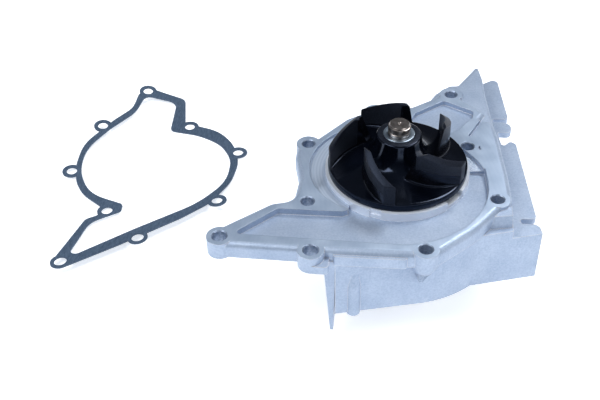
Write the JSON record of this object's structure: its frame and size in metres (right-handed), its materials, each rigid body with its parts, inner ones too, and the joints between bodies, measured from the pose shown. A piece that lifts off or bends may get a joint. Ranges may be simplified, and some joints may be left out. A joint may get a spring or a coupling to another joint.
{
  "type": "water pump",
  "caption": "Belt-driven engine coolant pump: cast aluminium flange and skirt, black bladed impeller on a shaft, bearing, face seal, pulley and a loose paper gasket.",
  "frame": {"origin": "the shaft axis where it crosses the sealing face of the flange", "axes": "+Z along the shaft, out of the face that meets the engine block, towards the impeller's nose; +X towards the flange's stepped side edge; +Y towards the horn with two bolt holes"},
  "size_m": [0.2998, 0.2383, 0.1002],
  "materials": {
    "cast_aluminium": "die-cast aluminium with a fine grain, machined on the sealing face",
    "black_plastic": "glossy moulded black plastic with satin blades",
    "insert_metal": "turned bright insert",
    "shaft_steel": "ground and turned bearing steel",
    "bearing_steel": "ground bearing steel",
    "cage_plastic": "glass-filled cage plastic",
    "seal_rubber": "moulded seal rubber",
    "stamped_steel": "deep-drawn stainless seal cup and spring",
    "seal_carbon": "lapped carbon graphite",
    "seal_ceramic": "lapped ceramic",
    "zinc_plated_steel": "plated pressed and machined pulley steel",
    "gasket_paper": "coated blue-grey gasket sheet"
  },
  "bodies": {
    "casing": {"pump_housing": "cast_aluminium", "bearing_outer_race": "bearing_steel", "bearing_seal_front": "seal_rubber", "bearing_seal_rear": "seal_rubber", "seal_cup": "stamped_steel", "seal_bellows": "seal_rubber", "seal_spring": "stamped_steel", "carbon_ring": "seal_carbon", "weep_plug": "seal_rubber"},
    "rotor": {"shaft": "shaft_steel", "slinger": "seal_rubber", "impeller": "black_plastic", "impeller_bush": "insert_metal", "pulley": "zinc_plated_steel", "mating_ring": "seal_ceramic", "seat_rubber": "seal_rubber"},
    "ball_train": {"bearing_balls_front": "bearing_steel", "bearing_balls_rear": "bearing_steel", "ball_cage_front": "cage_plastic", "ball_cage_rear": "cage_plastic"},
    "gasket_sheet": {"gasket": "gasket_paper"}
  },
  "joints": [
    {"name": "shaft_spin", "type": "hinge", "parent": "casing", "child": "rotor", "pos_m": [0, 0, 0], "axis": [0, 0, 1], "continuous": true},
    {"name": "ball_train_spin", "type": "hinge", "parent": "casing", "child": "ball_train", "pos_m": [0, 0, -0.03], "axis": [0, 0, 1], "continuous": true},
    {"name": "gasket_lift", "type": "slide", "parent": "casing", "child": "gasket_sheet", "axis": [0, 0, 1], "range_m": [0, 0.03]}
  ],
  "couplings": [
    {"joint": "ball_train_spin", "follows": "shaft_spin", "ratio": 0.34398}
  ]
}
